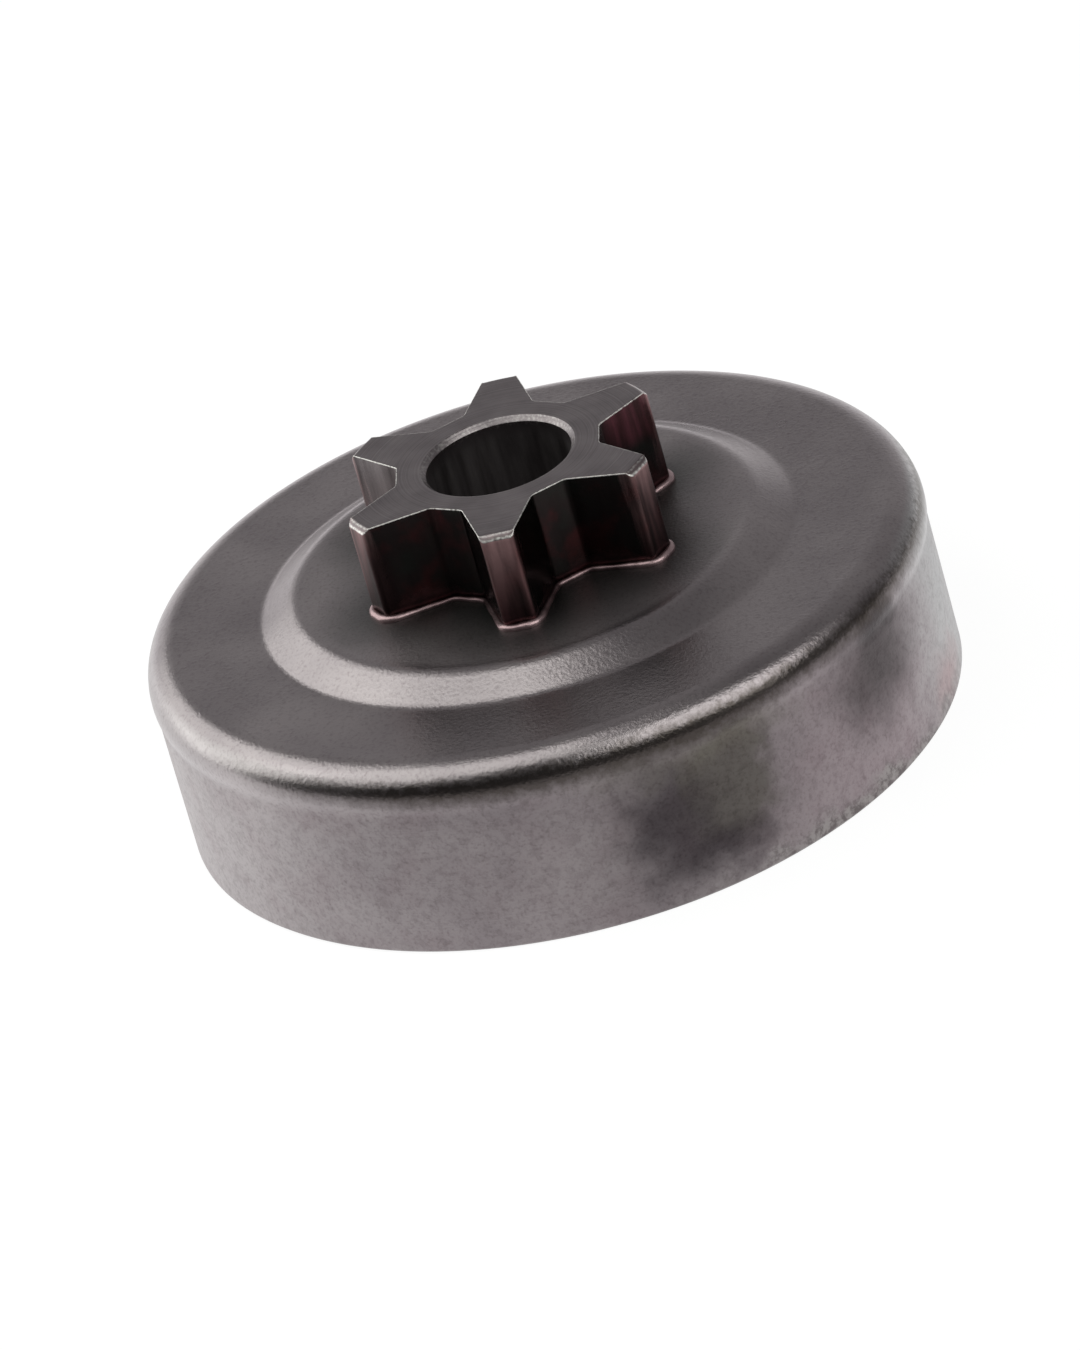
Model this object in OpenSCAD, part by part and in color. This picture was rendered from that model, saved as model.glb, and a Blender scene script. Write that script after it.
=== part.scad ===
// Chainsaw clutch drum with a six-tooth spur sprocket brazed to its face.
// The drum stands on its open rim, and the sprocket points up along +Z.
// The origin is the centre of the rim. All sizes are in millimetres.

/* [Drum] */
// Diameter of the drum's head, its widest part
drum_d = 70; // [60:0.5:90]
// Height from the open rim to the outer ring of the face
drum_h = 18; // [12:0.5:30]
// Thickness of the side wall below the head
wall_t = 2.3; // [1.5:0.1:4]
// Thickness of the pressed face
face_t = 2.5; // [1.5:0.1:3.5]
// Radius round the head's outer edge
head_round = 3; // [1:0.1:5]
// Radius in the corner inside the cup
cup_round = 1.5; // [0.5:0.1:3]

/* [Raised disc] */
// Diameter at the foot of the pressed step
step_foot_d = 48; // [44:0.2:56]
// Diameter at the top of the pressed step
step_top_d = 41.6; // [35:0.2:43]
// Rise of the raised disc over the outer ring
step_h = 1.75; // [0.8:0.05:3]
// Inside radius of the bends in the sheet
bend_round = 0.8; // [0.3:0.1:1.5]

/* [Brake band] */
// Height of the turned surface that the brake band grips, from the rim
band_h = 13.8; // [8:0.1:14.5]
// Depth of the turned surface below the head
band_cut = 0.2; // [0.1:0.05:0.5]
// Length of the tool's run-out under the head
band_runout = 0.8; // [0.3:0.1:1.5]
// Chamfer outside the rim
rim_outer_chamfer = 0.3; // [0.1:0.05:0.6]
// Chamfer inside the rim
rim_inner_chamfer = 0.5; // [0.1:0.05:0.9]

/* [Sprocket] */
// Number of teeth
teeth = 6; // [5:1:9]
// Distance from tip to tip, across two opposite teeth
tip_d = 29.3; // [26:0.1:34]
// Distance across two opposite root flats
root_d = 18.2; // [17.6:0.1:20]
// Width of a tooth at its tip
tip_w = 2.9; // [2:0.1:4]
// Width of the flat between two teeth
root_w = 3.3; // [2:0.1:4]
// Height of the teeth above the raised disc
tooth_h = 9.2; // [6:0.1:14]
// Radius on the long edges of a tooth's tip
tip_round = 0.55; // [0.2:0.05:0.9]
// Radius at the foot of a tooth's flanks
root_round = 0.7; // [0.2:0.05:1.2]
// Chamfer turned on the ends of the tips
tip_chamfer = 0.4; // [0.1:0.05:0.8]

/* [Bearing bore] */
// Diameter of the bore, for the needle cage
bore_d = 13; // [10:0.1:14]
// Chamfer at both mouths of the bore
bore_chamfer = 0.45; // [0.1:0.05:0.8]
// Wall of the spigot round the bore
spigot_wall = 2; // [1:0.1:2.1]
// How far the spigot stands out inside the drum
spigot_stand = 0.8; // [0.5:0.1:2]
// Chamfer round the spigot's end
spigot_chamfer = 0.3; // [0.1:0.05:0.5]

/* [Braze] */
// Radial clearance between the spigot and the drum's centre hole
braze_gap = 0.1; // [0.05:0.01:0.3]
// Width of the bead round the foot of the teeth
bead_w = 0.5; // [0.2:0.05:0.8]
// Height of the bead round the foot of the teeth
bead_h = 0.5; // [0.2:0.05:0.8]
// Size of the ring of braze inside the drum
ring_w = 0.45; // [0.2:0.05:0.5]

/* [Hidden] */
$fn = 120;
// Straight pieces that stand for one rounded corner
arc_steps = 6;
// Straight pieces across the hollow of the braze
hollow_steps = 4;
// A concave corner of the bead keeps at least this radius
least_round = 0.05;
// The share of a side that the arcs at its ends may take
side_used = 0.98;
// Length by which a cutter runs past the surface that it cuts
past = 1;
// The first tooth points along -Y
first_tooth = -90;
// The raised disc: its upper and lower faces
disc_z = drum_h + step_h;
disc_under_z = disc_z - face_t;
// The side wall
head_rad = drum_d / 2;
band_rad = head_rad - band_cut;
friction_rad = band_rad - wall_t;
// The step keeps the sheet's thickness, so its lower corners lie further in
step_angle = atan2(step_h, (step_foot_d - step_top_d) / 2);
step_shift = face_t * tan(step_angle / 2);
// The hub
end_z = disc_z + tooth_h;
bore_rad = bore_d / 2;
spigot_rad = bore_rad + spigot_wall;
hole_rad = spigot_rad + braze_gap;
spigot_z = disc_under_z - spigot_stand;
tip_rad = tip_d / 2;

// One length in the direction of v
function unit(v) = v / norm(v);

// Vector v turned by an angle
function turned(v, angle) =
    [v.x * cos(angle) - v.y * sin(angle), v.x * sin(angle) + v.y * cos(angle)];

// Half of the angle at corner b, which lies between a and c
function half_angle(a, b, c) = acos(unit(a - b) * unit(c - b)) / 2;

// Points of an arc of radius r in place of corner b
function arc_corner(a, b, c, r) =
    let (
        u = unit(a - b),
        v = unit(c - b),
        half = half_angle(a, b, c),
        centre = b + unit(u + v) * r / sin(half),
        start = b + u * r / tan(half) - centre,
        side = cross(u, v) > 0 ? -1 : 1,
        sweep = side * (180 - 2 * half)
    )
    r == 0 ? [b] : [for (i = [0 : arc_steps]) centre + turned(start, sweep * i / arc_steps)];

// A closed outline of corners [x, y, radius], each with its radius. Where a side is too
// short for the arcs at both its ends, both radii are held back by the same share.
function rounded(corners) =
    let (
        n = len(corners),
        at = [for (p = corners) [p.x, p.y]],
        cut = [
            for (i = [0 : n - 1])
                corners[i].z / tan(half_angle(at[(i + n - 1) % n], at[i], at[(i + 1) % n]))
        ],
        share = [
            for (i = [0 : n - 1])
                let (j = (i + 1) % n, both = cut[i] + cut[j])
                both > 0 ? min(1, side_used * norm(at[j] - at[i]) / both) : 1
        ]
    )
    [
        for (i = [0 : n - 1])
            let (before = (i + n - 1) % n, r = corners[i].z * min(share[before], share[i]))
            each arc_corner(at[before], at[i], at[(i + 1) % n], r)
    ];

// The four corners of one tooth, counted anticlockwise, and the flats on both sides of it
function tooth_corners(i) =
    let (
        angle = first_tooth + i * 360 / teeth,
        gap = 180 / teeth,
        root = [root_d / 2, root_w / 2],
        tip = [tip_rad, tip_w / 2],
        foot_a = turned(root, -gap),
        foot_b = [foot_a.x, -foot_a.y]
    )
    [
        for (p = [
            [foot_a, -root_round],
            [[tip.x, -tip.y], tip_round],
            [tip, tip_round],
            [foot_b, -root_round]
        ])
            let (xy = turned(p[0], angle))
            [xy.x, xy.y, p[1]]
    ];

// The star's outline, grown outwards by a distance. A convex corner has a positive
// radius, which grows with the distance, and a concave one shrinks.
function star(grow) =
    let (
        base = [for (i = [0 : teeth - 1]) each tooth_corners(i)],
        n = len(base),
        at = [for (p = base) [p.x, p.y]],
        normal = [for (i = [0 : n - 1]) turned(unit(at[(i + 1) % n] - at[i]), -90)]
    )
    rounded([
        for (i = [0 : n - 1])
            let (
                before = normal[(i + n - 1) % n],
                after = normal[i],
                moved = at[i] + grow * (before + after) / (1 + before * after),
                r = base[i].z
            )
            [moved.x, moved.y, r > 0 ? r + grow : max(-r - grow, least_round)]
    ]);

// A closed ring of faces through outlines that all have the same number of points
module loft_ring(outlines) {
    n = len(outlines[0]);
    m = len(outlines);
    polyhedron(
        points = [for (outline = outlines) each outline],
        faces = [
            for (j = [0 : m - 1])
                for (i = [0 : n - 1])
                    let (
                        k = (j + 1) % m,
                        a = j * n + i,
                        b = j * n + (i + 1) % n,
                        c = k * n + (i + 1) % n,
                        d = k * n + i
                    )
                    each [[a, b, c], [a, c, d]]
        ],
        convexity = 8
    );
}

// The cup: drawn from sheet, with a pressed step in its face, and turned outside
module clutch_drum() {
    foot = step_foot_d / 2;
    top = step_top_d / 2;
    section = rounded([
        [hole_rad, disc_under_z, 0],
        [top - step_shift, disc_under_z, bend_round],
        [foot - step_shift, drum_h - face_t, bend_round + face_t],
        [friction_rad, drum_h - face_t, cup_round],
        [friction_rad, rim_inner_chamfer, 0],
        [friction_rad + rim_inner_chamfer, 0, 0],
        [band_rad - rim_outer_chamfer, 0, 0],
        [band_rad, rim_outer_chamfer, 0],
        [band_rad, band_h, 0],
        [head_rad, band_h + band_runout, 0],
        [head_rad, drum_h, head_round],
        [foot, drum_h, bend_round],
        [top, disc_z, bend_round + face_t],
        [hole_rad, disc_z, 0]
    ]);
    color([0.49, 0.46, 0.46])
        rotate_extrude()
            polygon(section);
}

// The turned blank that the star is cut from: it sets the chamfer on the tips
module star_blank() {
    outside = norm([tip_rad, tip_w / 2]);
    rotate_extrude()
        polygon([
            [0, disc_z],
            [outside, disc_z],
            [outside, end_z - tip_chamfer - (outside - tip_rad)],
            [tip_rad - tip_chamfer, end_z],
            [0, end_z]
        ]);
}

// The hub's spigot, which passes through the drum's centre hole
module spigot() {
    rotate_extrude()
        polygon([
            [0, spigot_z],
            [spigot_rad - spigot_chamfer, spigot_z],
            [spigot_rad, spigot_z + spigot_chamfer],
            [spigot_rad, disc_z],
            [0, disc_z]
        ]);
}

// The bore for the needle cage, with a chamfer at each mouth
module bearing_bore() {
    wide = bore_rad + bore_chamfer + past;
    rotate_extrude()
        polygon([
            [0, spigot_z - past],
            [wide, spigot_z - past],
            [bore_rad, spigot_z + bore_chamfer],
            [bore_rad, end_z - bore_chamfer],
            [wide, end_z + past],
            [0, end_z + past]
        ]);
}

// The star and its spigot, one piece of hardened steel
module spur_sprocket() {
    color([0.36, 0.34, 0.33])
        difference() {
            union() {
                intersection() {
                    translate([0, 0, disc_z])
                        linear_extrude(tooth_h)
                            polygon(star(0));
                    star_blank();
                }
                spigot();
            }
            bearing_bore();
        }
}

// The hollow of a fillet in a corner, from its foot at [w, 0] up to [0, h]
function hollow(w, h) = [
    for (i = [0 : hollow_steps])
        let (a = i * 90 / hollow_steps)
        [w * (1 - sin(a)), h * (1 - cos(a))]
];

// Copper braze in the corner between the star and the raised disc
module braze_fillet() {
    section = concat([[0, 0]], hollow(bead_w, bead_h));
    color([0.72, 0.46, 0.38])
        loft_ring([for (s = section) [for (p = star(s.x)) [p.x, p.y, disc_z + s.y]]]);
}

// The same braze, run through the clearance and set round the spigot inside the drum
module inner_braze_ring() {
    across = braze_gap + ring_w;
    down = min(ring_w, spigot_stand - spigot_chamfer);
    color([0.72, 0.46, 0.38])
        rotate_extrude()
            polygon(concat(
                [[spigot_rad, disc_z], [hole_rad, disc_z], [hole_rad, disc_under_z]],
                [for (s = hollow(across, down)) [spigot_rad + s.x, disc_under_z - s.y]]
            ));
}

clutch_drum();
spur_sprocket();
braze_fillet();
inner_braze_ring();
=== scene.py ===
"""A chainsaw's spur sprocket drum, standing on its open rim."""

import math

import bmesh
import bpy
from mathutils import Matrix, Vector


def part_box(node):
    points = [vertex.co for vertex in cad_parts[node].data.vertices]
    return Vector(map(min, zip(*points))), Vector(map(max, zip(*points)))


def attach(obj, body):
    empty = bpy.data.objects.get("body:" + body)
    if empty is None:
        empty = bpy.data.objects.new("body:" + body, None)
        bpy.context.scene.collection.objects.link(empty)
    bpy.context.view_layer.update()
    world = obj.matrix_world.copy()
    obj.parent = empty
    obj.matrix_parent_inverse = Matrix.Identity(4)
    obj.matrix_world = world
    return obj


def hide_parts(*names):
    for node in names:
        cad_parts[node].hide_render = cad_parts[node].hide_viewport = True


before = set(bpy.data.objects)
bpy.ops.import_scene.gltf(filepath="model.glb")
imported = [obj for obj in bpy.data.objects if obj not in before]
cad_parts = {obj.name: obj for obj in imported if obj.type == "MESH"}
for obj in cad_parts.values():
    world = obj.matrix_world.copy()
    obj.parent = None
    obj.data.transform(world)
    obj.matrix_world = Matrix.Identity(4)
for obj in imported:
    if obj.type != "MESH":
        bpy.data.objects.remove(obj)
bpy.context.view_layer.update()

# CLUTCH DRUM
# One cup, deep drawn from steel sheet, with a raised disc pressed into its face. Its side is
# turned just below the head, where the brake band grips, and the whole cup is then tumbled
# with abrasive stones, which rounds the edges and leaves a fine satin grain.

MM = 0.001
drum_low, drum_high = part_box("clutch_drum")
HEAD_RAD = round(drum_high.x / MM, 1)
DISC_Z = round(drum_high.z / MM, 2)
STEP_H = 1.75
DRUM_H = DISC_Z - STEP_H
FACE_T = 2.5
WALL_T = 2.3
BAND_CUT = 0.2
BAND_H = 13.8
BAND_RUNOUT = 0.8
HEAD_ROUND = 3.0
CUP_ROUND = 1.5
STEP_FOOT_RAD = 24.0
STEP_TOP_RAD = 20.8
BEND_ROUND = 0.8
STEP_FOOT_BEND = 1.5
STEP_TOP_BEND = 2.4
HOLE_RAD = 8.6
RIM_OUTER_CHAMFER = 0.3
RIM_INNER_CHAMFER = 0.5
TUMBLED_ROUND = 0.12
DRUM_SEGMENTS = 384
DRUM_UNEVENNESS = 0.03
STAR_TEETH = 6
STAR_FOOT_RAD = 11.4
STAR_FOOT_SWING = 2.2


def rounded(corners, closed=True, turn_step=7.0, support=0.12, longest=1.4):
    """Points (x, y, nx, ny) along an outline of (x, y, radius) corners, in millimetres.

    Each corner becomes an arc. A straight stretch gets a support point near both ends, which
    keeps smooth shading flat, and more points where it is long. The normal points to the
    right of the way along the outline.
    """
    count = len(corners)
    at = [Vector(c[:2]) for c in corners]
    halves = []
    for i in range(count):
        ends = [(at[j % count] - at[i]) for j in (i - 1, i + 1)]
        halves.append(ends[0].angle(ends[1]) / 2)
    cuts = [corner[2] / math.tan(half) for corner, half in zip(corners, halves)]
    arcs = []
    for i, corner in enumerate(corners):
        here, half = at[i], halves[i]
        to_last = at[i - 1] - here
        to_next = at[(i + 1) % count] - here
        share = 1.0
        for side, other in ((to_last, cuts[i - 1]), (to_next, cuts[(i + 1) % count])):
            if cuts[i] > 0:
                share = min(share, 0.98 * side.length / (cuts[i] + other))
        rad = corner[2] * share
        if rad <= 0 or (not closed and i in (0, count - 1)):
            arcs.append([(here, None)])
            continue
        u, v = to_last.normalized(), to_next.normalized()
        centre = here + (u + v).normalized() * rad / math.sin(half)
        start = here + u * rad / math.tan(half) - centre
        bend = 1.0 if u.cross(v) < 0 else -1.0
        sweep = bend * (math.pi - 2 * half)
        steps = max(2, round(abs(math.degrees(sweep)) / turn_step))
        spokes = [Matrix.Rotation(sweep * k / steps, 2) @ start for k in range(steps + 1)]
        arcs.append([(centre + spoke, spoke.normalized() * bend) for spoke in spokes])
    made = []
    for i, arc in enumerate(arcs):
        last = not closed and i == count - 1
        after = arcs[(i + 1) % count][0][0]
        run = arc[-1][0] - arcs[i - 1][-1][0] if last else after - arc[-1][0]
        right = Vector((run.y, -run.x)).normalized()
        made += [(place, normal or right) for place, normal in arc]
        if last or run.length < 3 * support:
            continue
        middle = max(1, math.ceil((run.length - 2 * support) / longest))
        for k in range(middle + 1):
            share = (support + (run.length - 2 * support) * k / middle) / run.length
            made.append((arc[-1][0] + run * share, right))
    return [(place.x, place.y, normal.x, normal.y) for place, normal in made]


MATH = "ShaderNodeMath"
VECTOR = "ShaderNodeVectorMath"
MIX = "ShaderNodeMix"
RANGE = "ShaderNodeMapRange"
NOISE = "ShaderNodeTexNoise"
SHADER = "ShaderNodeBsdfPrincipled"


def node(tree, kind, inputs=None, out=0, **settings):
    """Adds a node with its settings and links. Returns one outlet, or all of them for None."""
    made = tree.nodes.new(kind)
    for name, value in settings.items():
        setattr(made, name, value)
    for key, value in (inputs or {}).items():
        if isinstance(value, bpy.types.NodeSocket):
            tree.links.new(value, made.inputs[key])
        else:
            made.inputs[key].default_value = value
    if not len(made.outputs):
        return made
    return made.outputs if out is None else made.outputs[out]


def linear(hex_code):
    """An sRGB hex colour as linear RGBA."""
    parts = [int(hex_code[i : i + 2], 16) / 255 for i in (1, 3, 5)]
    return tuple(c / 12.92 if c <= 0.04045 else ((c + 0.055) / 1.055) ** 2.4 for c in parts) + (1.0,)


def new_tree(name, sockets):
    """A geometry tree with named inputs, which gives a skin. Returns it and its inputs' outlets."""
    tree = bpy.data.node_groups.new(name, "GeometryNodeTree")
    for label, kind in sockets:
        tree.interface.new_socket(label, in_out="INPUT", socket_type="NodeSocket" + kind)
    tree.interface.new_socket("Skin", in_out="OUTPUT", socket_type="NodeSocketGeometry")
    return tree, node(tree, "NodeGroupInput", out=None)


def worked(name, mesh, tree, values):
    """Runs a geometry tree over a mesh, and keeps the result as a plain closed mesh."""
    piece = bpy.data.objects.new(name, mesh)
    bpy.context.scene.collection.objects.link(piece)
    modifier = piece.modifiers.new(tree.name, "NODES")
    modifier.node_group = tree
    for socket in tree.interface.items_tree:
        if socket.in_out == "INPUT" and socket.name in values:
            modifier[socket.identifier] = values[socket.name]
    state = bpy.context.evaluated_depsgraph_get()
    made = bpy.data.meshes.new_from_object(
        piece.evaluated_get(state), preserve_all_data_layers=True, depsgraph=state
    )
    piece.modifiers.clear()
    piece.data = made
    made.name = name
    shell = bmesh.new()
    shell.from_mesh(made)
    bmesh.ops.recalc_face_normals(shell, faces=shell.faces)
    shell.to_mesh(made)
    shell.free()
    return piece


def wire(name, points):
    """A closed wire of (x, y, z) points in millimetres."""
    mesh = bpy.data.meshes.new(name)
    count = len(points)
    mesh.from_pydata(
        [(x * MM, y * MM, z * MM) for x, y, z in points], [(i, (i + 1) % count) for i in range(count)], []
    )
    return mesh


def finish_tree(tree, skin, finish):
    """Ends a geometry tree: smooth shading, real geometry and the piece's material."""
    skin = node(tree, "GeometryNodeSetShadeSmooth", {"Geometry": skin})
    skin = node(tree, "GeometryNodeRealizeInstances", {0: skin})
    skin = node(tree, "GeometryNodeSetMaterial", {"Geometry": skin, "Material": finish})
    node(tree, "NodeGroupOutput", {0: skin})
    return tree


def turned_tree():
    """A wire section in the XZ plane, turned round the Z axis into a closed skin."""
    tree, given = new_tree(
        "turned_piece",
        [
            ("Section", "Geometry"),
            ("Segments", "Int"),
            ("Unevenness", "Float"),
            ("Finish", "Material"),
        ],
    )
    segments = given["Segments"]
    size = node(tree, "GeometryNodeAttributeDomainSize", {0: given["Section"]}, "Point Count")
    rows = node(tree, MATH, {0: size, 1: 1.0}, operation="ADD")
    columns = node(tree, MATH, {0: segments, 1: 1.0}, operation="ADD")
    skin = node(tree, "GeometryNodeMeshGrid", {"Vertices X": rows, "Vertices Y": columns})
    index = node(tree, "GeometryNodeInputIndex")
    row = node(tree, MATH, {0: index, 1: columns}, operation="DIVIDE")
    row = node(tree, MATH, {0: row}, operation="FLOOR")
    point = node(tree, MATH, {0: row, 1: size}, operation="FLOORED_MODULO")
    column = node(tree, MATH, {0: index, 1: columns}, operation="FLOORED_MODULO")
    share = node(tree, MATH, {0: column, 1: segments}, operation="DIVIDE")
    angle = node(tree, MATH, {0: share, 1: 2 * math.pi}, operation="MULTIPLY")
    place = node(tree, "GeometryNodeInputPosition")
    section = node(
        tree,
        "GeometryNodeSampleIndex",
        {"Geometry": given["Section"], "Value": place, "Index": point},
        data_type="FLOAT_VECTOR",
    )
    turn = node(tree, "FunctionNodeAxisAngleToRotation", {"Axis": (0.0, 0.0, 1.0), "Angle": angle})
    swung = node(tree, "FunctionNodeRotateVector", {"Vector": section, "Rotation": turn})
    skin = node(tree, "GeometryNodeSetPosition", {"Geometry": skin, "Position": swung})
    skin = node(tree, "GeometryNodeMergeByDistance", {"Geometry": skin, "Distance": 1e-6})
    waves = node(tree, NOISE, {"Scale": 110.0, "Detail": 1.0})
    depth = node(tree, MATH, {0: waves, 1: given["Unevenness"]}, operation="MULTIPLY")
    inward = node(tree, VECTOR, {0: place, 1: (-1.0, -1.0, 0.0)}, operation="MULTIPLY")
    inward = node(tree, VECTOR, {0: inward}, operation="NORMALIZE")
    push = node(tree, VECTOR, {0: inward, "Scale": depth}, operation="SCALE")
    skin = node(tree, "GeometryNodeSetPosition", {"Geometry": skin, "Offset": push})
    return finish_tree(tree, skin, given["Finish"])


def new_finish(name):
    """An empty material. Returns it, its tree and its place in millimetres."""
    made = bpy.data.materials.new(name)
    made.use_nodes = True
    tree = made.node_tree
    tree.nodes.clear()
    where = node(tree, "ShaderNodeTexCoord", out="Object")
    return made, tree, node(tree, "ShaderNodeMapping", {"Vector": where, "Scale": (1 / MM,) * 3})


# Stains on the turned side, and two pale patches of painted light. Each has the azimuth (degrees)
# and height (mm) of its middle, its half width (degrees) and half height (mm), how soft its edge is,
# its colour and its strength.
SIDE_STAINS = [
    # Painted light: the left side, which faces the left lamp, made paler.
    ("painted light on the left side", -160.0, 8.0, 34.0, 14.0, 0.9, "#d0cbcb", 0.6),
    ("mauve temper veil", -38.0, 6.0, 19.0, 9.0, 0.6, "#aa9da1", 0.85),
    # Painted light: the right edge, where the side turns away, made paler and cooler as a painted sheen.
    ("painted sheen on the right edge", -2.0, 8.0, 16.0, 14.0, 0.9, "#c2c5c5", 0.65),
    ("grey cloud", -32.3, 11.5, 9.6, 5.0, 0.8, "#4e494a", 0.85),
    ("dark spot under the head", -31.0, 14.8, 6.0, 1.2, 0.8, "#3f3a3c", 0.75),
    ("pink temper", -12.0, 2.5, 6.0, 2.2, 0.8, "#b89a9c", 0.6),
    ("wide grey shade", -69.0, 8.0, 14.0, 8.0, 0.8, "#746d6f", 0.55),
    ("olive film", -63.0, 9.6, 7.2, 5.4, 0.26, "#6a665f", 0.75),
    ("olive run", -67.0, 13.6, 13.0, 1.5, 0.8, "#8a857b", 0.5),
    ("mauve core", -73.0, 8.3, 6.2, 4.8, 0.85, "#4d464a", 0.85),
    ("dark foot of the smear", -65.5, 4.0, 6.5, 2.0, 0.8, "#463f43", 0.8),
]


def stain(tree, place, middle, reach, soft):
    """How far a place lies inside a soft-edged oval stain, from 0 to 1."""
    off = node(tree, VECTOR, {0: place, 1: middle}, operation="SUBTRACT")
    off = node(tree, VECTOR, {0: off, 1: reach}, operation="DIVIDE")
    off = node(tree, VECTOR, {0: off}, "Value", operation="LENGTH")
    edge = {"Value": off, "From Min": 1 + soft, "From Max": 1 - soft}
    return node(tree, RANGE, edge, interpolation_type="SMOOTHSTEP")


# Low-carbon sheet steel, deep drawn, its side turned, then tumbled with stones and heated in
# the brazing furnace. It is a satin grey metal with a faint mauve cast and a fine grain of
# about 0.3 mm. The turned side is duller, with level tool lines and clouds of temper colour,
# and scale is left just above it, where no tool reached; that dark band is also a painted dark
# reflection, reaching lower at the front and weaker on the left. The left side and the right
# edge of the turned side are made paler with painted light. A dark smear crosses it on the
# right, and the disc carries painted shade round the foot of the star.
def tumbled_steel():
    made, tree, mm = new_finish("tumbled_drawn_steel")
    x, y, z = node(tree, "ShaderNodeSeparateXYZ", {0: mm}, None)
    flat = node(tree, "ShaderNodeCombineXYZ", {"X": x, "Y": y})
    rad = node(tree, VECTOR, {0: flat}, "Value", operation="LENGTH")
    ahead = node(tree, MATH, {0: y, 1: -1.0}, operation="MULTIPLY")
    azimuth = node(tree, MATH, {0: x, 1: ahead}, operation="ARCTAN2")
    azimuth = node(tree, MATH, {0: azimuth}, operation="DEGREES")
    azimuth = node(tree, MATH, {0: azimuth, 1: 90.0}, operation="SUBTRACT")
    clouds = node(tree, NOISE, {"Vector": mm, "Scale": 0.09, "Detail": 4.0})
    grain = node(tree, NOISE, {"Vector": mm, "Scale": 3.2, "Detail": 3.0})
    patches = node(tree, NOISE, {"Vector": mm, "Scale": 0.22, "Detail": 5.0, "Roughness": 0.6})
    along = node(tree, MATH, {0: rad, 1: z}, operation="ADD")
    along = node(tree, MATH, {0: along, 1: 5.0}, operation="MULTIPLY")
    lines = node(tree, NOISE, {"W": along, "Scale": 1.0, "Detail": 2.0}, noise_dimensions="1D")

    light = node(tree, RANGE, {"Value": clouds, "From Min": 0.35, "From Max": 0.65})
    colour = node(
        tree, MIX, {0: light, 6: linear("#9e9598"), 7: linear("#b0a7a9")}, 2, data_type="RGBA"
    )
    outside = node(tree, RANGE, {"Value": rad, "From Min": 33.6, "From Max": 34.2})
    side = node(tree, RANGE, {"Value": z, "From Min": 14.7, "From Max": 13.9, "To Max": 1.0})
    side = node(tree, MATH, {0: side, 1: outside}, operation="MULTIPLY")
    place = node(tree, "ShaderNodeCombineXYZ", {"X": azimuth, "Y": z})
    ragged = node(tree, NOISE, {"Vector": mm, "Scale": 0.3, "Detail": 3.0, "Roughness": 0.5}, "Color")
    ragged = node(tree, VECTOR, {0: ragged, 1: (0.5, 0.5, 0.5)}, operation="SUBTRACT")
    place = node(tree, VECTOR, {0: ragged, 1: (10.0, 5.0, 0.0), 2: place}, operation="MULTIPLY_ADD")
    for _, across, up, half_width, half_height, soft, shade, strength in SIDE_STAINS:
        share = stain(tree, place, (across, up, 0.0), (half_width, half_height, 1.0), soft)
        share = node(tree, MATH, {0: share, 1: strength}, operation="MULTIPLY")
        share = node(tree, MATH, {0: share, 1: outside}, operation="MULTIPLY")
        colour = node(tree, MIX, {0: share, 6: colour, 7: linear(shade)}, 2, data_type="RGBA")

    speck = node(tree, RANGE, {"Value": grain, "From Min": 0.5, "From Max": 0.75, "To Max": 0.4})
    temper = node(tree, RANGE, {"Value": patches, "From Min": 0.46, "From Max": 0.68, "To Max": 0.3})
    temper = node(tree, MATH, {0: temper, 1: side}, operation="MULTIPLY")
    frost = node(tree, NOISE, {"Vector": mm, "Scale": 1.1, "Detail": 4.0, "Roughness": 0.7})
    dull = node(tree, RANGE, {"Value": frost, "From Min": 0.47, "From Max": 0.62, "To Max": 0.3})
    dull = node(tree, MATH, {0: dull, 1: side}, operation="MULTIPLY")
    for share, tint in ((speck, "#b3abad"), (temper, "#dacdd1"), (dull, "#c2bdbe")):
        colour = node(
            tree, MIX, {0: share, 6: colour, 7: linear(tint)}, 2, data_type="RGBA", blend_type="MULTIPLY"
        )

    worn = stain(tree, place, (-38.0, 0.4, 0.0), (26.0, 1.2, 1.0), 0.7)
    worn = node(tree, RANGE, {"Value": worn, "To Max": 0.75})
    worn = node(tree, MATH, {0: worn, 1: outside}, operation="MULTIPLY")
    nicks = node(tree, RANGE, {"Value": frost, "From Min": 0.42, "From Max": 0.58})
    edge = node(
        tree, MIX, {0: nicks, 6: linear("#aaa6a4"), 7: linear("#6f6a69")}, 2, data_type="RGBA"
    )
    colour = node(tree, MIX, {0: worn, 6: colour, 7: edge}, 2, data_type="RGBA")

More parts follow.
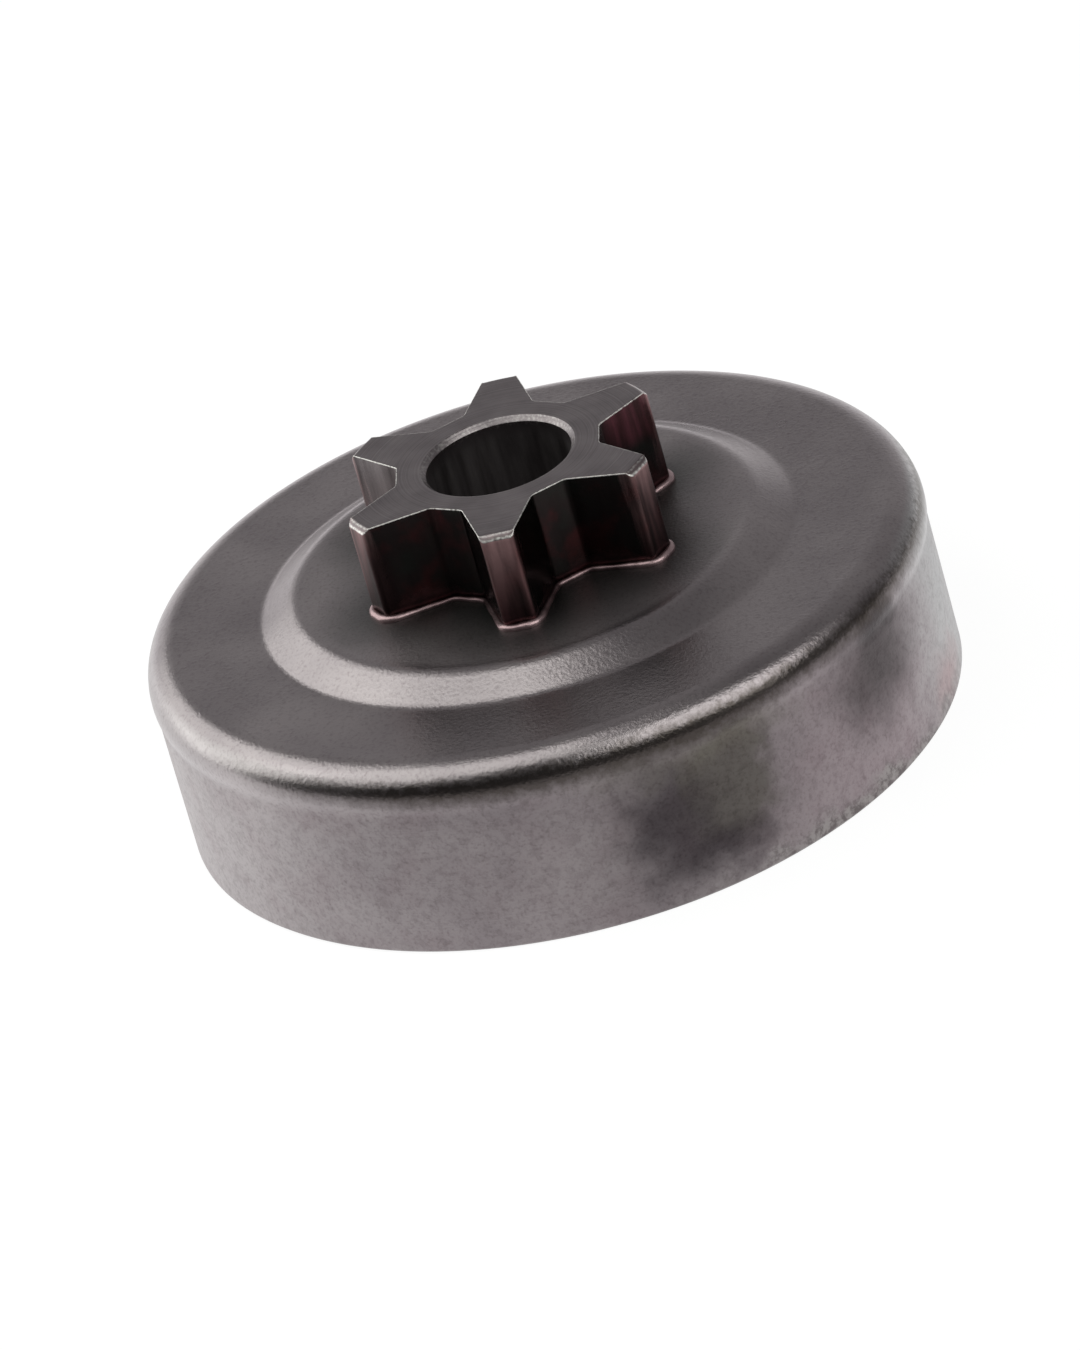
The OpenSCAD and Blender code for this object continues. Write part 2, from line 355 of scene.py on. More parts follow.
    # Scale just above the turned band, partly a painted dark reflection under the head: it reaches lower at the
    # front and is weaker on the left.
    height = node(tree, MATH, {0: frost, 1: 2.0, 2: z}, operation="MULTIPLY_ADD")
    run = node(tree, MATH, {0: azimuth, 1: 80.0}, operation="ADD")
    run = node(tree, MATH, {0: run}, operation="ABSOLUTE")
    run = node(tree, RANGE, {"Value": run, "From Min": 40.0, "From Max": 15.0, "To Max": 0.8})
    run = node(tree, MATH, {0: run, 1: height}, operation="ADD")
    scale_and_dark_reflection = node(tree, RANGE, {"Value": run, "From Min": 15.7, "From Max": 17.2, "To Max": 0.8})
    above = node(tree, RANGE, {"Value": height, "From Min": 18.1, "From Max": 17.3})
    scale_and_dark_reflection = node(tree, MATH, {0: scale_and_dark_reflection, 1: above}, operation="MULTIPLY")
    scale_and_dark_reflection = node(tree, MATH, {0: scale_and_dark_reflection, 1: outside}, operation="MULTIPLY")
    from_left = node(tree, MATH, {0: azimuth, 1: 190.0}, operation="ADD")
    from_left = node(tree, MATH, {0: from_left}, operation="ABSOLUTE")
    from_left = node(tree, RANGE, {"Value": from_left, "From Min": 50.0, "From Max": 80.0, "To Min": 0.2})
    scale_and_dark_reflection = node(tree, MATH, {0: scale_and_dark_reflection, 1: from_left}, operation="MULTIPLY")
    colour = node(tree, MIX, {0: scale_and_dark_reflection, 6: colour, 7: linear("#4a433d")}, 2, data_type="RGBA")

    # Painted shade on the disc round the foot of the star: darker and greener close to the teeth.
    on_top = node(tree, RANGE, {"Value": z, "From Min": DISC_Z - 0.7, "From Max": DISC_Z - 0.3})
    on_disc = {"Value": rad, "From Min": STEP_TOP_RAD - 0.3, "From Max": STEP_TOP_RAD - 1.5}
    on_disc = node(tree, MATH, {0: node(tree, RANGE, on_disc), 1: on_top}, operation="MULTIPLY")
    wander = node(tree, MATH, {0: azimuth, 1: math.radians(STAR_TEETH)}, operation="MULTIPLY")
    wander = node(tree, MATH, {0: wander}, operation="COSINE")
    clear = node(tree, MATH, {0: wander, 1: STAR_FOOT_SWING, 2: rad}, operation="MULTIPLY_ADD")
    clear = node(tree, MATH, {0: patches, 1: 2.0, 2: clear}, operation="MULTIPLY_ADD")
    painted_shade_round_star = {"Value": clear, "From Min": STAR_FOOT_RAD + 9.5, "From Max": STAR_FOOT_RAD + 1.0}
    painted_shade_round_star = node(tree, RANGE, {**painted_shade_round_star, "To Min": 0.12, "To Max": 0.91})
    painted_shade_round_star = node(tree, MATH, {0: painted_shade_round_star, 1: on_disc}, operation="MULTIPLY")
    colour = node(
        tree, MIX, {0: painted_shade_round_star, 6: colour, 7: linear("#4e5a54")}, 2, data_type="RGBA", blend_type="MULTIPLY"
    )

    shine = node(tree, RANGE, {"Value": clouds, "To Min": 0.25, "To Max": 0.33})
    shine = node(tree, MIX, {0: on_disc, 2: shine, 3: 0.43}, data_type="FLOAT")
    shine = node(tree, MIX, {0: side, 2: shine, 3: 0.44}, data_type="FLOAT")
    share = node(tree, RANGE, {"Value": side, "To Min": 0.12, "To Max": 0.4})
    relief = node(tree, MIX, {0: share, 2: grain, 3: lines}, data_type="FLOAT")
    bumps = node(tree, "ShaderNodeBump", {"Height": relief, "Strength": 0.8, "Distance": 0.045 * MM})
    steel = node(
        tree, SHADER, {"Base Color": colour, "Metallic": 1.0, "Roughness": shine, "Normal": bumps}
    )
    node(tree, "ShaderNodeOutputMaterial", {"Surface": steel})
    return made


step_angle = math.atan2(STEP_H, STEP_FOOT_RAD - STEP_TOP_RAD)
step_shift = FACE_T * math.tan(step_angle / 2)
BAND_RAD = HEAD_RAD - BAND_CUT
FRICTION_RAD = BAND_RAD - WALL_T
DISC_UNDER_Z = DISC_Z - FACE_T
turned = turned_tree()
drum_section = rounded(
    [
        (HOLE_RAD, DISC_UNDER_Z, 0),
        (STEP_TOP_RAD - step_shift, DISC_UNDER_Z, BEND_ROUND),
        (STEP_FOOT_RAD - step_shift, DRUM_H - FACE_T, BEND_ROUND + FACE_T),
        (FRICTION_RAD, DRUM_H - FACE_T, CUP_ROUND),
        (FRICTION_RAD, RIM_INNER_CHAMFER, TUMBLED_ROUND),
        (FRICTION_RAD + RIM_INNER_CHAMFER, 0, TUMBLED_ROUND),
        (BAND_RAD - RIM_OUTER_CHAMFER, 0, TUMBLED_ROUND),
        (BAND_RAD, RIM_OUTER_CHAMFER, TUMBLED_ROUND),
        (BAND_RAD, BAND_H, 2.0),
        (HEAD_RAD, BAND_H + BAND_RUNOUT, 2.0),
        (HEAD_RAD, DRUM_H, HEAD_ROUND),
        (STEP_FOOT_RAD, DRUM_H, STEP_FOOT_BEND),
        (STEP_TOP_RAD, DISC_Z, STEP_TOP_BEND),
        (HOLE_RAD, DISC_Z, 0),
    ]
)
drum = worked(
    "drum_cup",
    wire("drum_section", [(p[0], 0.0, p[1]) for p in drum_section]),
    turned,
    {"Segments": DRUM_SEGMENTS, "Unevenness": DRUM_UNEVENNESS * MM, "Finish": tumbled_steel()},
)
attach(drum, "root")
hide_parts("clutch_drum")

# SPUR SPROCKET
# The star, its hub and its bore are one piece of hardened steel, and its spigot goes through
# the drum's centre. The brazing furnace left the flanks nearly black, and turning the end
# face afterwards left it grey.

TEETH = 6
TIP_RAD = 14.65
TIP_W = 2.9
ROOT_RAD = 9.1
ROOT_W = 3.3
TOOTH_H = 9.2
TIP_ROUND = 0.55
ROOT_ROUND = 0.7
TIP_CHAMFER = 0.4
EDGE_ROUND = 0.15
BORE_RAD = 6.5
BORE_CHAMFER = 0.45
SPIGOT_RAD = 8.5
SPIGOT_CHAMFER = 0.3
END_Z = DISC_Z + TOOTH_H
SPIGOT_Z = DISC_UNDER_Z - 0.8


def tooth_outline(grow=0.0, root_round=ROOT_ROUND, tip_round=TIP_ROUND):
    """One tooth along +X and the halves of the flats beside it, from gap to gap."""
    gap = math.pi / TEETH
    foot = Matrix.Rotation(-gap, 2) @ Vector((ROOT_RAD, ROOT_W / 2))
    middle = Matrix.Rotation(-gap, 2) @ Vector((ROOT_RAD, 0))
    corners = [
        (middle.x, middle.y, 0),
        (foot.x, foot.y, root_round),
        (TIP_RAD, -TIP_W / 2, tip_round),
        (TIP_RAD, TIP_W / 2, tip_round),
        (foot.x, -foot.y, root_round),
        (middle.x, -middle.y, 0),
    ]
    outline = rounded(corners, closed=False, turn_step=12.0, longest=0.3)
    return [(x + nx * grow, y + ny * grow, nx, ny) for x, y, nx, ny in outline]


def bore_section():
    """The bore, its chamfered mouths and the spigot, as (radius, height)."""
    section = rounded(
        [
            (BORE_RAD + BORE_CHAMFER + 0.25, END_Z, 0),
            (BORE_RAD + BORE_CHAMFER, END_Z, 0.06),
            (BORE_RAD, END_Z - BORE_CHAMFER, 0.06),
            (BORE_RAD, SPIGOT_Z + BORE_CHAMFER, 0.06),
            (BORE_RAD + BORE_CHAMFER, SPIGOT_Z, 0.06),
            (SPIGOT_RAD - SPIGOT_CHAMFER, SPIGOT_Z, 0.06),
            (SPIGOT_RAD, SPIGOT_Z + SPIGOT_CHAMFER, 0.06),
            (SPIGOT_RAD, DISC_Z, 0),
        ],
        closed=False,
        turn_step=15.0,
        support=0.06,
        longest=1.5,
    )
    return [(p[0], p[1]) for p in section]


def tooth_slice(x, y, nx, ny):
    """The points (x, y, z, wear_and_highlight, turned) of one upright slice, all the way round the solid."""
    rad = math.hypot(x, y)
    out = Vector((x, y)) / rad
    cut = max(0.0, rad - (TIP_RAD - TIP_CHAMFER))
    inward = (out * cut + Vector((nx, ny)) * 0.08).normalized() * -1
    rim = Vector((x, y))
    top = END_Z - cut
    low = top - EDGE_ROUND - 0.12
    made = [(x, y, DISC_Z + (low - DISC_Z) * k / 8, 0.0, 0.0) for k in range(9)]
    flat = min(1.0, cut / 0.15)
    guide = [(0.0, -cut - EDGE_ROUND), (0.0, -cut), (cut, 0.0), (cut + EDGE_ROUND, 0.0)]
    for k in range(9):
        t = k / 8
        shares = ((1 - t) ** 3, 3 * t * (1 - t) ** 2, 3 * t * t * (1 - t), t**3)
        across = sum(s * g[0] for s, g in zip(shares, guide))
        height = sum(s * g[1] for s, g in zip(shares, guide))
        place = rim + inward * across
        wear_and_highlight = (1 - flat) * math.sin(math.pi * t) + flat * abs(math.sin(2 * math.pi * t)) * (1 - 0.65 * t)
        made.append((place.x, place.y, END_Z + height, wear_and_highlight, max(0.7 * flat * min(1.0, 4 * t), t**4)))
    edge = rim + inward * (cut + EDGE_ROUND)
    mouth = out * (BORE_RAD + BORE_CHAMFER + 0.25)
    for share in (0.03, 0.12, 0.4, 0.7):
        place = edge.lerp(mouth, share)
        made.append((place.x, place.y, END_Z, 0.0, 1.0))
    for r, z in bore_section():
        at_mouth = z > END_Z - BORE_CHAMFER - 0.1
        on_chamfer = at_mouth and r < BORE_RAD + BORE_CHAMFER + 0.05
        made.append((out.x * r, out.y * r, z, 0.35 if on_chamfer else 0.0, 1.0 if at_mouth else 0.0))
    back = (out * SPIGOT_RAD).lerp(rim, 0.5)
    made.append((back.x, back.y, DISC_Z, 0.0, 0.0))
    return made


def tooth_sector():
    """One sixth of the sprocket with its open sides at the gaps."""
    slices = [tooth_slice(*p) for p in tooth_outline()]
    rings = len(slices[0])
    mesh = bpy.data.meshes.new("tooth_sector")
    faces = []
    for i in range(len(slices) - 1):
        for k in range(rings):
            after = (k + 1) % rings
            faces.append((i * rings + k, i * rings + after, (i + 1) * rings + after, (i + 1) * rings + k))
    points = [p for line in slices for p in line]
    mesh.from_pydata([(p[0] * MM, p[1] * MM, p[2] * MM) for p in points], [], faces)
    for name, place in (("wear_and_highlight", 3), ("turned", 4)):
        mesh.attributes.new(name, "FLOAT", "POINT").data.foreach_set("value", [p[place] for p in points])
    return mesh


def ring_tree():
    """A sector repeated round the Z axis and joined into one skin."""
    tree, given = new_tree(
        "ring_of_teeth",
        [("Sector", "Geometry"), ("Teeth", "Int"), ("First tooth", "Float"), ("Finish", "Material")],
    )
    points = node(tree, "GeometryNodePoints", {"Count": given["Teeth"]})
    index = node(tree, "GeometryNodeInputIndex")
    share = node(tree, MATH, {0: index, 1: given["Teeth"]}, operation="DIVIDE")
    angle = node(tree, MATH, {0: share, 1: 2 * math.pi, 2: given["First tooth"]}, operation="MULTIPLY_ADD")
    turn = node(tree, "FunctionNodeAxisAngleToRotation", {"Axis": (0.0, 0.0, 1.0), "Angle": angle})
    placed = {"Points": points, "Instance": given["Sector"], "Rotation": turn}
    skin = node(tree, "GeometryNodeInstanceOnPoints", placed)
    skin = node(tree, "GeometryNodeRealizeInstances", {0: skin})
    skin = node(tree, "GeometryNodeMergeByDistance", {"Geometry": skin, "Distance": 2e-6})
    return finish_tree(tree, skin, given["Finish"])


# Marks on two flanks: one is pale grey with streaks, painted light on the flank that faces the left
# lamp; the other has red temper colour. Each has its middle and reach (mm), how soft its edge is,
# its two colours and its strength.
FLANK_MARKS = [
    ((-11.5, 4.0, END_Z - 2.5), (4.0, 4.0, 6.0), 0.25, "#827c7d", "#4a4445", 0.95),
    ((11.5, 4.5, END_Z - 1.4), (4.0, 4.0, 2.4), 0.35, "#74454f", "#422b2d", 0.85),
]
# A darker patch low on one tip face: its middle and reach (mm), and how soft its edge is.
TIP_DARK_PATCH = ((-11.8, -8.5, DISC_Z + 3.0), (1.6, 1.6, 4.5), 0.5)


# Case-hardened steel out of the brazing furnace, where copper vapour and flux touched it. The
# flanks are nearly black and smooth, with red and green temper colours and a flush of copper on
# the tips and at the foot, darker towards the foot. One flank has a pale mark of painted light
# and one tip a darker patch. The turned end face is grey with fine rings, and the tumbled edges
# carry thin near-white lines, partly worn metal and partly painted highlight.
def furnace_steel():
    made, tree, mm = new_finish("furnace_dark_hardened_steel")
    x, y, z = node(tree, "ShaderNodeSeparateXYZ", {0: mm}, None)
    flat = node(tree, "ShaderNodeCombineXYZ", {"X": x, "Y": y})
    rad = node(tree, VECTOR, {0: flat}, "Value", operation="LENGTH")
    patches = node(tree, NOISE, {"Vector": mm, "Scale": 0.35, "Detail": 4.0})
    streaks = node(tree, "ShaderNodeMapping", {"Vector": mm, "Scale": (1.0, 1.0, 0.12)})
    streaks = node(tree, NOISE, {"Vector": streaks, "Scale": 0.9, "Detail": 4.0})
    grain = node(tree, NOISE, {"Vector": mm, "Scale": 3.5, "Detail": 2.0})
    wear_and_highlight = node(tree, "ShaderNodeAttribute", None, "Fac", attribute_name="wear_and_highlight")
    turned = node(tree, "ShaderNodeAttribute", None, "Fac", attribute_name="turned")

    dark = node(
        tree, MIX, {0: streaks, 6: linear("#201c1c"), 7: linear("#3d3737")}, 2, data_type="RGBA"
    )
    red = node(tree, RANGE, {"Value": patches, "From Min": 0.5, "From Max": 0.68, "To Max": 0.6})
    dark = node(tree, MIX, {0: red, 6: dark, 7: linear("#562c2e")}, 2, data_type="RGBA")
    green = node(tree, RANGE, {"Value": patches, "From Min": 0.46, "From Max": 0.32, "To Max": 0.6})
    dark = node(tree, MIX, {0: green, 6: dark, 7: linear("#2c322f")}, 2, data_type="RGBA")
    sharp_streaks = node(tree, RANGE, {"Value": streaks, "From Min": 0.35, "From Max": 0.65})
    # The first mark is painted light on the flank that faces the left lamp.
    for middle, reach, soft, pale, deep, strength in FLANK_MARKS:
        share = stain(tree, mm, middle, reach, soft)
        share = node(tree, MATH, {0: share, 1: strength}, operation="MULTIPLY")
        tone = {0: sharp_streaks, 6: linear(deep), 7: linear(pale)}
        tone = node(tree, MIX, tone, 2, data_type="RGBA")
        dark = node(tree, MIX, {0: share, 6: dark, 7: tone}, 2, data_type="RGBA")
    in_bore = {"Value": rad, "From Min": BORE_RAD + 0.9, "From Max": BORE_RAD + 0.4}
    in_bore = node(tree, RANGE, in_bore)
    ground = {0: sharp_streaks, 6: linear("#5f595a"), 7: linear("#878182")}
    ground = node(tree, MIX, ground, 2, data_type="RGBA")
    dark = node(tree, MIX, {0: in_bore, 6: dark, 7: ground}, 2, data_type="RGBA")
    spread = node(tree, MATH, {0: streaks, 1: 4.0, 2: rad}, operation="MULTIPLY_ADD")
    tips = node(tree, RANGE, {"Value": spread, "From Min": 15.7, "From Max": 17.2, "To Max": 0.85})
    up = node(tree, MATH, {0: patches, 1: -4.0, 2: z}, operation="MULTIPLY_ADD")
    foot = node(tree, RANGE, {"Value": up, "From Min": DISC_Z - 0.6, "From Max": DISC_Z - 2.2})
    copper = node(tree, MATH, {0: tips, 1: foot}, operation="MAXIMUM")
    in_hole = {"Value": z, "From Min": DISC_UNDER_Z - 0.3, "From Max": DISC_UNDER_Z + 0.3}
    in_hole = node(tree, RANGE, in_hole)
    copper = node(tree, MATH, {0: copper, 1: in_hole}, operation="MULTIPLY")
    # The copper flush is darker towards the foot of the teeth and lighter towards the end face.
    up_the_tooth = node(tree, RANGE, {"Value": z, "From Min": DISC_Z + 1.5, "From Max": END_Z - 0.6})
    flush = {0: up_the_tooth, 6: linear("#5f4144"), 7: linear("#b08d8d")}
    flush = node(tree, MIX, flush, 2, data_type="RGBA")
    dark = node(tree, MIX, {0: copper, 6: dark, 7: flush}, 2, data_type="RGBA")
    # A darker patch low on one tip face.
    dark_patch = stain(tree, mm, *TIP_DARK_PATCH)
    dark_patch = node(tree, MATH, {0: dark_patch, 1: 0.85}, operation="MULTIPLY")
    dark = node(tree, MIX, {0: dark_patch, 6: dark, 7: linear("#2b2122")}, 2, data_type="RGBA")
    rings = node(tree, MATH, {0: rad, 1: 6.0}, operation="MULTIPLY")
    rings = node(tree, NOISE, {"W": rings, "Scale": 1.0, "Detail": 3.0}, noise_dimensions="1D")
    cloudy = node(tree, MATH, {0: patches, 1: 1.2, 2: rings}, operation="MULTIPLY_ADD")
    cloudy = node(tree, RANGE, {"Value": cloudy, "From Min": 0.6, "From Max": 1.6})
    turned_face = node(
        tree, MIX, {0: cloudy, 6: linear("#776f72"), 7: linear("#a1989a")}, 2, data_type="RGBA"
    )
    colour = node(tree, MIX, {0: turned, 6: dark, 7: turned_face}, 2, data_type="RGBA")
    # Near-white lines along the tumbled edges and the bore's mouth: partly worn metal, partly a painted highlight.
    chipped_and_highlit = node(tree, MATH, {0: grain, 1: wear_and_highlight}, operation="MULTIPLY")
    bright = node(tree, RANGE, {"Value": chipped_and_highlit, "From Min": 0.16, "From Max": 0.46})
    colour = node(tree, MIX, {0: bright, 6: colour, 7: linear("#efebe8")}, 2, data_type="RGBA")

    shine = node(tree, RANGE, {"Value": copper, "To Min": 0.25, "To Max": 0.4})
    shine = node(tree, MIX, {0: in_bore, 2: shine, 3: 0.48}, data_type="FLOAT")
    shine = node(tree, MIX, {0: turned, 2: shine, 3: 0.32}, data_type="FLOAT")
    shine = node(tree, MIX, {0: bright, 2: shine, 3: 0.5}, data_type="FLOAT")
    relief = node(tree, MIX, {0: turned, 2: grain, 3: rings}, data_type="FLOAT")
    bumps = node(tree, "ShaderNodeBump", {"Height": relief, "Strength": 0.4, "Distance": 0.02 * MM})
    steel = node(
        tree, SHADER, {"Base Color": colour, "Metallic": 1.0, "Roughness": shine, "Normal": bumps}
    )
    node(tree, "ShaderNodeOutputMaterial", {"Surface": steel})
    return made


sprocket = worked(
    "sprocket",
    tooth_sector(),
    ring_tree(),
    {"Teeth": TEETH, "First tooth": -math.pi / 2, "Finish": furnace_steel()},
)
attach(sprocket, "root")
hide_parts("spur_sprocket")

# BRAZE BEAD
# Copper braze drawn round the foot of the star in the furnace. It set as a thin uneven bead,
# which follows every flank.

BEAD_RAD = 0.27
BEAD_OUT = 0.11
BEAD_UP = 0.09
BEAD_ROOT_ROUND = 1.3
BEAD_TIP_ROUND = 1.35
BEAD_TIP_OUT = 0.12
BEAD_UNEVENNESS = 0.7
BEAD_LUMP = 1.1
BEAD_TIP_SWELL = 0.45


def bead_path():
    """The star's outline, a little outside its foot and more so at the tips, as (x, y, z)."""
    line = []
    for tooth in range(TEETH):
        turn_by = Matrix.Rotation(2 * math.pi * tooth / TEETH - math.pi / 2, 2)
        for point in tooth_outline(BEAD_OUT, BEAD_ROOT_ROUND, BEAD_TIP_ROUND)[:-1]:
            place = turn_by @ Vector(point[:2])
            at_tip = min(max((place.length - 12.5) / 2.0, 0.0), 1.0)
            place += place.normalized() * BEAD_TIP_OUT * at_tip
            line.append((place.x, place.y, DISC_Z + BEAD_UP))
    return line


def bead_tree():
    """A round cord of uneven thickness along a wire."""
    tree, given = new_tree(
        "uneven_cord",
        [
            ("Path", "Geometry"),
            ("Radius", "Float"),
            ("Unevenness", "Float"),
            ("Lump size", "Float"),
            ("Swell at the tips", "Float"),
            ("Finish", "Material"),
        ],
    )
    path = node(tree, "GeometryNodeMeshToCurve", {0: given["Path"]})
    per_metre = node(tree, MATH, {0: 1.0, 1: given["Lump size"]}, operation="DIVIDE")
    lumps = node(tree, NOISE, {"Scale": per_metre, "Detail": 2.0})
    swell = node(tree, MATH, {0: lumps, 1: 0.45}, operation="SUBTRACT")
    swell = node(tree, MATH, {0: swell, 1: given["Unevenness"], 2: 1.0}, operation="MULTIPLY_ADD")
    place = node(tree, "GeometryNodeInputPosition")
    flat = node(tree, VECTOR, {0: place, 1: (1.0, 1.0, 0.0)}, operation="MULTIPLY")
    out = node(tree, VECTOR, {0: flat}, "Value", operation="LENGTH")
    at_tip = node(tree, RANGE, {"Value": out, "From Min": 12 * MM, "From Max": 14.5 * MM})
    swell = node(
        tree, MATH, {0: at_tip, 1: given["Swell at the tips"], 2: swell}, operation="MULTIPLY_ADD"
    )
    profile = node(tree, "GeometryNodeCurvePrimitiveCircle", {"Resolution": 14, "Radius": given["Radius"]})
    skin = node(tree, "GeometryNodeCurveToMesh", {"Curve": path, "Profile Curve": profile, "Scale": swell})
    return finish_tree(tree, skin, given["Finish"])


# Copper that melted and set again in the furnace: mauve pink and satin, lighter towards the tooth
# tips and darker in the gaps between the teeth, where the darkening is painted shade.
def set_copper():
    made, tree, mm = new_finish("furnace_set_copper")
    clouds = node(tree, NOISE, {"Vector": mm, "Scale": 0.9, "Detail": 3.0})
    flat = node(tree, VECTOR, {0: mm, 1: (1.0, 1.0, 0.0)}, operation="MULTIPLY")
    out = node(tree, VECTOR, {0: flat}, "Value", operation="LENGTH")
    # Painted shade: darker in the gaps between the teeth, lighter towards the tips.
    at_tip = node(tree, RANGE, {"Value": out, "From Min": 11.0, "From Max": 14.5, "To Min": -0.25, "To Max": 0.25})
    bright = node(tree, MATH, {0: clouds, 1: at_tip}, operation="ADD")
    bright = node(tree, RANGE, {"Value": bright, "From Min": 0.2, "From Max": 0.8})
    colour = node(
        tree, MIX, {0: bright, 6: linear("#7f696c"), 7: linear("#bda2a5")}, 2, data_type="RGBA"
    )
    grain = node(tree, NOISE, {"Vector": mm, "Scale": 4.0, "Detail": 2.0})
    bumps = node(tree, "ShaderNodeBump", {"Height": grain, "Strength": 0.5, "Distance": 0.03 * MM})
    copper = node(
        tree, SHADER, {"Base Color": colour, "Metallic": 1.0, "Roughness": 0.38, "Normal": bumps}
    )
    node(tree, "ShaderNodeOutputMaterial", {"Surface": copper})
    return made


copper_finish = set_copper()
bead = worked(
    "braze_bead",
    wire("bead_path", bead_path()),
    bead_tree(),
    {
        "Radius": BEAD_RAD * MM,
        "Unevenness": BEAD_UNEVENNESS,
        "Lump size": BEAD_LUMP * MM,
        "Swell at the tips": BEAD_TIP_SWELL,
        "Finish": copper_finish,
    },
)
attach(bead, "root")
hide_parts("braze_fillet")

# INNER BRAZE RING
# The same copper, run through the clearance round the spigot and set in the corner inside
# the drum.

RING_OUT = 0.55
RING_DOWN = 0.45
ring_section = rounded(
    [
        (SPIGOT_RAD, DISC_Z, 0),
        (SPIGOT_RAD, DISC_UNDER_Z - RING_DOWN, 0.02),
        (SPIGOT_RAD + 0.12, DISC_UNDER_Z - 0.16, 0.3),
        (SPIGOT_RAD + RING_OUT, DISC_UNDER_Z, 0.02),
        (HOLE_RAD, DISC_UNDER_Z, 0),
        (HOLE_RAD, DISC_Z, 0),
    ],
    turn_step=15.0,
    support=0.03,
)
ring = worked(
    "inner_braze",
    wire("inner_braze_section", [(p[0], 0.0, p[1]) for p in ring_section]),
    turned,
    {"Segments": 240, "Unevenness": 0.0, "Finish": copper_finish},
)
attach(ring, "root")
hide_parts("inner_braze_ring")

# STUDIO
# A pale floor, three soft lights and a grey room whose front is dark, so that the metal shows
# the same bands as in the photograph. The camera sees the room and the floor white.

bpy.ops.mesh.primitive_plane_add(size=4.0)
floor = bpy.context.object
floor.name = "floor"
AZIMUTH = math.radians(8.05)
ELEVATION = math.radians(28.16)


def towards(azimuth, elevation):
    """A direction by its azimuth, clockwise from straight behind the part, and elevation."""
    heading = math.radians(azimuth) - AZIMUTH
    rise = math.radians(elevation)
    return Vector((math.sin(heading) * math.cos(rise), math.cos(heading) * math.cos(rise), math.sin(rise)))


def softbox(name, azimuth, elevation, roll, width, height, radiance):
    """A square-cornered soft light 0.6 m away that faces the part."""
    lamp = bpy.data.lights.new(name, "AREA")
    lamp.shape = "RECTANGLE"
    lamp.size = width
    lamp.size_y = height
    lamp.energy = radiance * math.pi * width * height
    lamp.color = (0.965, 1.0, 0.955)
    held = bpy.data.objects.new(name, lamp)
    way = towards(azimuth, elevation)
    turn = way.to_track_quat("Z", "Y") @ Matrix.Rotation(math.radians(roll), 3, "Z").to_quaternion()
    held.matrix_world = Matrix.LocRotScale(way * 0.6 + Vector((0, 0, 0.02)), turn, None)
    bpy.context.scene.collection.objects.link(held)


softbox("left_softbox", -58.0, 29.0, -38.0, 0.66, 0.56, 1.27)
softbox("upper_softbox", -106.0, 63.0, -20.0, 0.48, 0.59, 1.3)
softbox("right_softbox", 137.0, 41.0, -30.0, 0.54, 0.43, 2.0)

floor_paint, tree, mm = new_finish("pale_floor")
ray = node(tree, "ShaderNodeLightPath", out=None)
# The floor glows for reflected rays too, dimmer in front of the part than behind it: painted light in the metal's
# reflections.
behind = node(tree, VECTOR, {0: mm, 1: towards(0.0, 0.0)}, "Value", operation="DOT_PRODUCT")
level = node(
    tree, RANGE, {"Value": behind, "From Min": -45.0, "From Max": -5.0, "To Min": 0.58, "To Max": 1.05}
)
level = node(tree, MIX, {0: ray["Is Camera Ray"], 2: level, 3: 1.08}, data_type="FLOAT")
seen = node(tree, MIX, {0: ray["Is Glossy Ray"], 2: 0.0, 3: 0.9}, data_type="FLOAT")
seen = node(tree, MIX, {0: ray["Is Camera Ray"], 2: seen, 3: 0.85}, data_type="FLOAT")
from_axis = node(tree, VECTOR, {0: mm}, "Value", operation="LENGTH")
clear_of_cup = node(tree, RANGE, {"Value": from_axis, "From Min": 33.0, "From Max": 34.5, "To Min": 0.06})
seen = node(tree, MATH, {0: seen, 1: clear_of_cup}, operation="MULTIPLY")
paint = node(tree, "ShaderNodeBsdfDiffuse", {"Color": linear("#ececec")})
glow = node(tree, "ShaderNodeEmission", {"Color": (1.0, 1.0, 1.0, 1.0), "Strength": level})
mixed = node(tree, "ShaderNodeMixShader", {0: seen, 1: paint, 2: glow})
node(tree, "ShaderNodeOutputMaterial", {"Surface": mixed})
floor.data.materials.append(floor_paint)

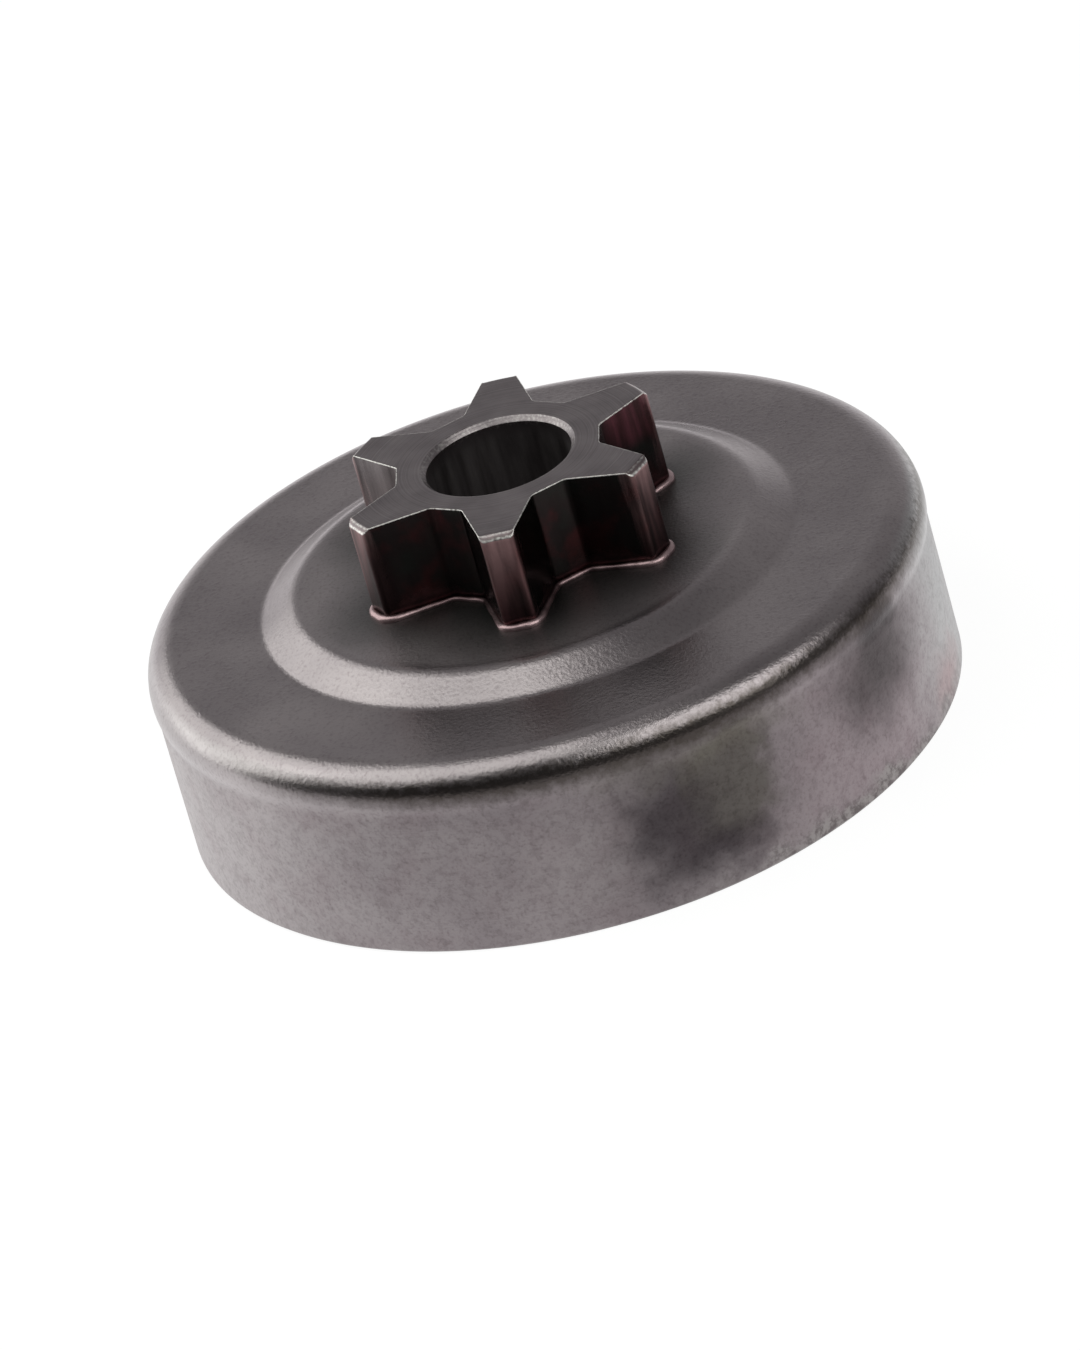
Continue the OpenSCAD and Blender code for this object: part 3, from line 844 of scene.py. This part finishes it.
room = bpy.data.worlds.new("room")
bpy.context.scene.world = room
room.use_nodes = True
tree = room.node_tree
tree.nodes.clear()
way = node(tree, "ShaderNodeTexCoord", out="Generated")
rise = node(tree, "ShaderNodeSeparateXYZ", {0: way}, "Z")
ahead = node(tree, VECTOR, {0: way, 1: towards(20.0, 0.0)}, "Value", operation="DOT_PRODUCT")
walls = node(
    tree, RANGE, {"Value": ahead, "From Min": -0.1, "From Max": 0.95, "To Min": 0.04, "To Max": 0.31}
)
back_low = node(tree, VECTOR, {0: way, 1: towards(-25.0, 0.0)}, "Value", operation="DOT_PRODUCT")
sweep = node(tree, RANGE, {"Value": back_low, "From Min": 0.5, "From Max": 0.95, "To Max": 0.8})
low = node(tree, RANGE, {"Value": rise, "From Min": 0.34, "From Max": 0.05})
sweep = node(tree, MATH, {0: sweep, 1: low}, operation="MULTIPLY")
ceiling = node(tree, RANGE, {"Value": rise, "From Min": 0.97, "From Max": 1.0, "To Max": 0.3})
dim = node(tree, MATH, {0: walls, 1: sweep}, operation="ADD")
dim = node(tree, MATH, {0: dim, 1: ceiling}, operation="ADD")
ray = node(tree, "ShaderNodeLightPath", out=None)
level = node(tree, MIX, {0: ray["Is Glossy Ray"], 2: 0.3, 3: dim}, data_type="FLOAT")
level = node(tree, MIX, {0: ray["Is Camera Ray"], 2: level, 3: 1.0}, data_type="FLOAT")
light = node(tree, "ShaderNodeBackground", {"Color": (1.0, 1.0, 1.0, 1.0), "Strength": level})
node(tree, "ShaderNodeOutputWorld", {"Surface": light})

# CAMERA
# A long lens, rolled a little, at the photograph's view.

ROLL = math.radians(-15.95)
DISTANCE = 1028.0
FRAME_LONG_PX = 1350
FOCAL_PX = 11682
AIM_RIGHT = -3.3
AIM_UP = 5.44
SENSOR = 36.0
right = Vector((math.cos(AZIMUTH), math.sin(AZIMUTH), 0.0))
back = Vector(
    (
        math.sin(AZIMUTH) * math.cos(ELEVATION),
        -math.cos(AZIMUTH) * math.cos(ELEVATION),
        math.sin(ELEVATION),
    )
)
up = back.cross(right)
right_rolled = right * math.cos(ROLL) + up * math.sin(ROLL)
up_rolled = up * math.cos(ROLL) - right * math.sin(ROLL)
camera_data = bpy.data.cameras.new("camera")
camera_data.sensor_width = SENSOR
camera_data.lens = FOCAL_PX * SENSOR / FRAME_LONG_PX
camera_data.clip_start = 0.01
camera_data.clip_end = 10.0
camera = bpy.data.objects.new("camera", camera_data)
bpy.context.scene.collection.objects.link(camera)
turn = Matrix((right_rolled, up_rolled, back)).transposed().to_4x4()
spot = (right_rolled * AIM_RIGHT + up_rolled * AIM_UP + back * DISTANCE) * MM
camera.matrix_world = Matrix.Translation(spot) @ turn
bpy.context.scene.camera = camera

bpy.context.scene.view_settings.view_transform = "Standard"
